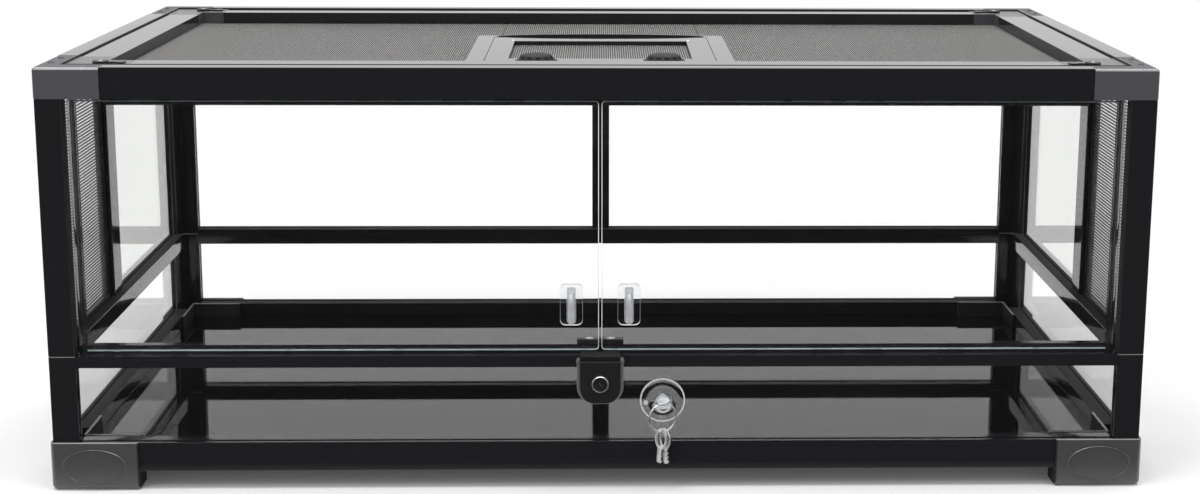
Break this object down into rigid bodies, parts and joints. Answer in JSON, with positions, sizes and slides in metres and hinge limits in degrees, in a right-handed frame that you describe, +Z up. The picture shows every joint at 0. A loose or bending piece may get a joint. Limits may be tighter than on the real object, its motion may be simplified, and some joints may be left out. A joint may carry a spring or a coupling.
{
  "type": "glass terrarium",
  "caption": "Low rectangular glass terrarium with outward-swinging front doors, key lock, side vents, glossy floor and a screen lid with a feeding hatch.",
  "frame": {"origin": "bottom centre of the bounding box, on the surface that the feet stand on", "axes": "+X to the right along the front, +Y from the doors to the back, +Z up"},
  "size_m": [0.919, 0.4754, 0.3593],
  "materials": {
    "frame_black": "satin black",
    "corner_plastic": "dark grey, fine grain",
    "foot_plastic": "dark grey, fine grain",
    "black_plastic": "black",
    "glass": "clear float glass, polished edges",
    "clear_plastic": "clear acrylic and soft vinyl",
    "screen": "black coated wire screen",
    "floor_gloss": "glossy black",
    "bright_metal": "nickel plated"
  },
  "bodies": {
    "frame": {"back_mullion": "frame_black", "base_rail_back": "frame_black", "base_rail_front": "frame_black", "base_rail_left": "frame_black", "base_rail_right": "frame_black", "door_stop": "black_plastic", "floor_panel": "floor_gloss", "foot_back_left": "foot_plastic", "foot_back_right": "foot_plastic", "foot_front_left": "foot_plastic", "foot_front_right": "foot_plastic", "lock_bezel": "clear_plastic", "lock_housing": "black_plastic", "lower_glass_back": "glass", "lower_glass_front": "glass", "lower_glass_sides": "glass", "lower_posts": "frame_black", "mid_rail_back": "frame_black", "mid_rail_front": "frame_black", "mid_rail_left": "frame_black", "mid_rail_right": "frame_black", "side_glass_left": "glass", "side_glass_right": "glass", "side_stiles": "frame_black", "suction_cup": "clear_plastic", "top_corner_back_left": "corner_plastic", "top_corner_back_right": "corner_plastic", "top_corner_front_left": "corner_plastic", "top_corner_front_right": "corner_plastic", "top_rail_back": "frame_black", "top_rail_front": "frame_black", "top_rail_left": "frame_black", "top_rail_right": "frame_black", "upper_glass_back_left": "glass", "upper_glass_back_right": "glass", "upper_posts": "frame_black", "vent_screen_left": "screen", "vent_screen_right": "screen"},
    "left_door": {"left_door_glass": "glass", "left_door_handle": "clear_plastic", "left_door_hinge": "clear_plastic"},
    "right_door": {"right_door_glass": "glass", "right_door_handle": "clear_plastic", "right_door_hinge": "clear_plastic"},
    "lid": {"lid_rails": "frame_black", "lid_corners": "corner_plastic", "lid_screen": "screen", "hatch_surround": "frame_black"},
    "hatch": {"hatch_door": "frame_black", "hatch_screen": "screen"},
    "hatch_knob_left": {"hatch_knob_left": "black_plastic"},
    "hatch_knob_right": {"hatch_knob_right": "black_plastic"},
    "lid_lock_back_left": {"lid_lock_back_left": "black_plastic"},
    "lid_lock_back_right": {"lid_lock_back_right": "black_plastic"},
    "lid_lock_front_left": {"lid_lock_front_left": "black_plastic"},
    "lid_lock_front_right": {"lid_lock_front_right": "black_plastic"},
    "lock_cylinder": {"lock_cylinder": "bright_metal"},
    "lock_bolt": {"lock_bolt": "black_plastic"},
    "key_ring": {"key_ring": "bright_metal"},
    "keys": {"keys": "bright_metal"}
  },
  "joints": [
    {"name": "left_door_swing", "type": "hinge", "parent": "frame", "child": "left_door", "pos_m": [-0.43, -0.21125, 0.224], "axis": [0, 0, -1], "range_deg": [0, 100]},
    {"name": "right_door_swing", "type": "hinge", "parent": "frame", "child": "right_door", "pos_m": [0.43, -0.21125, 0.224], "axis": [0, 0, 1], "range_deg": [0, 100]},
    {"name": "lock_turn", "type": "hinge", "parent": "frame", "child": "lock_cylinder", "pos_m": [0, -0.23075, 0.0955], "axis": [0, -1, 0], "range_deg": [0, 90]},
    {"name": "bolt_lift", "type": "slide", "parent": "frame", "child": "lock_bolt", "axis": [0, 0, 1], "range_m": [0, 0.008]},
    {"name": "lid_lift", "type": "slide", "parent": "frame", "child": "lid", "axis": [0, 0, 1], "range_m": [0, 0.15]},
    {"name": "hatch_swing", "type": "hinge", "parent": "lid", "child": "hatch", "pos_m": [0, 0.02445, 0.3498], "axis": [-1, 0, 0], "range_deg": [0, 95]},
    {"name": "hatch_knob_left_turn", "type": "hinge", "parent": "hatch", "child": "hatch_knob_left", "pos_m": [-0.0545, -0.14325, 0.355], "axis": [0, 0, -1], "range_deg": [0, 90]},
    {"name": "hatch_knob_right_turn", "type": "hinge", "parent": "hatch", "child": "hatch_knob_right", "pos_m": [0.0545, -0.14325, 0.355], "axis": [0, 0, 1], "range_deg": [0, 90]},
    {"name": "lid_lock_front_left_turn", "type": "hinge", "parent": "lid", "child": "lid_lock_front_left", "pos_m": [-0.4105, -0.18925, 0.352], "axis": [0, 0, 1], "range_deg": [0, 90]},
    {"name": "lid_lock_front_right_turn", "type": "hinge", "parent": "lid", "child": "lid_lock_front_right", "pos_m": [0.4105, -0.18925, 0.352], "axis": [0, 0, -1], "range_deg": [0, 90]},
    {"name": "lid_lock_back_left_turn", "type": "hinge", "parent": "lid", "child": "lid_lock_back_left", "pos_m": [-0.4105, 0.20275, 0.352], "axis": [0, 0, -1], "range_deg": [0, 90]},
    {"name": "lid_lock_back_right_turn", "type": "hinge", "parent": "lid", "child": "lid_lock_back_right", "pos_m": [0.4105, 0.20275, 0.352], "axis": [0, 0, 1], "range_deg": [0, 90]},
    {"name": "key_ring_swing", "type": "hinge", "parent": "frame", "child": "key_ring", "pos_m": [0.0524, -0.22975, 0.076], "axis": [-0.9397, -0.342, 0], "range_deg": [0, 60]},
    {"name": "keys_swing", "type": "hinge", "parent": "key_ring", "child": "keys", "pos_m": [0.0524, -0.22975, 0.052], "axis": [-0.9397, -0.342, 0], "range_deg": [0, 45]}
  ],
  "couplings": [
    {"joint": "lock_turn", "follows": "bolt_lift", "rad_per_m": 196.34}
  ]
}
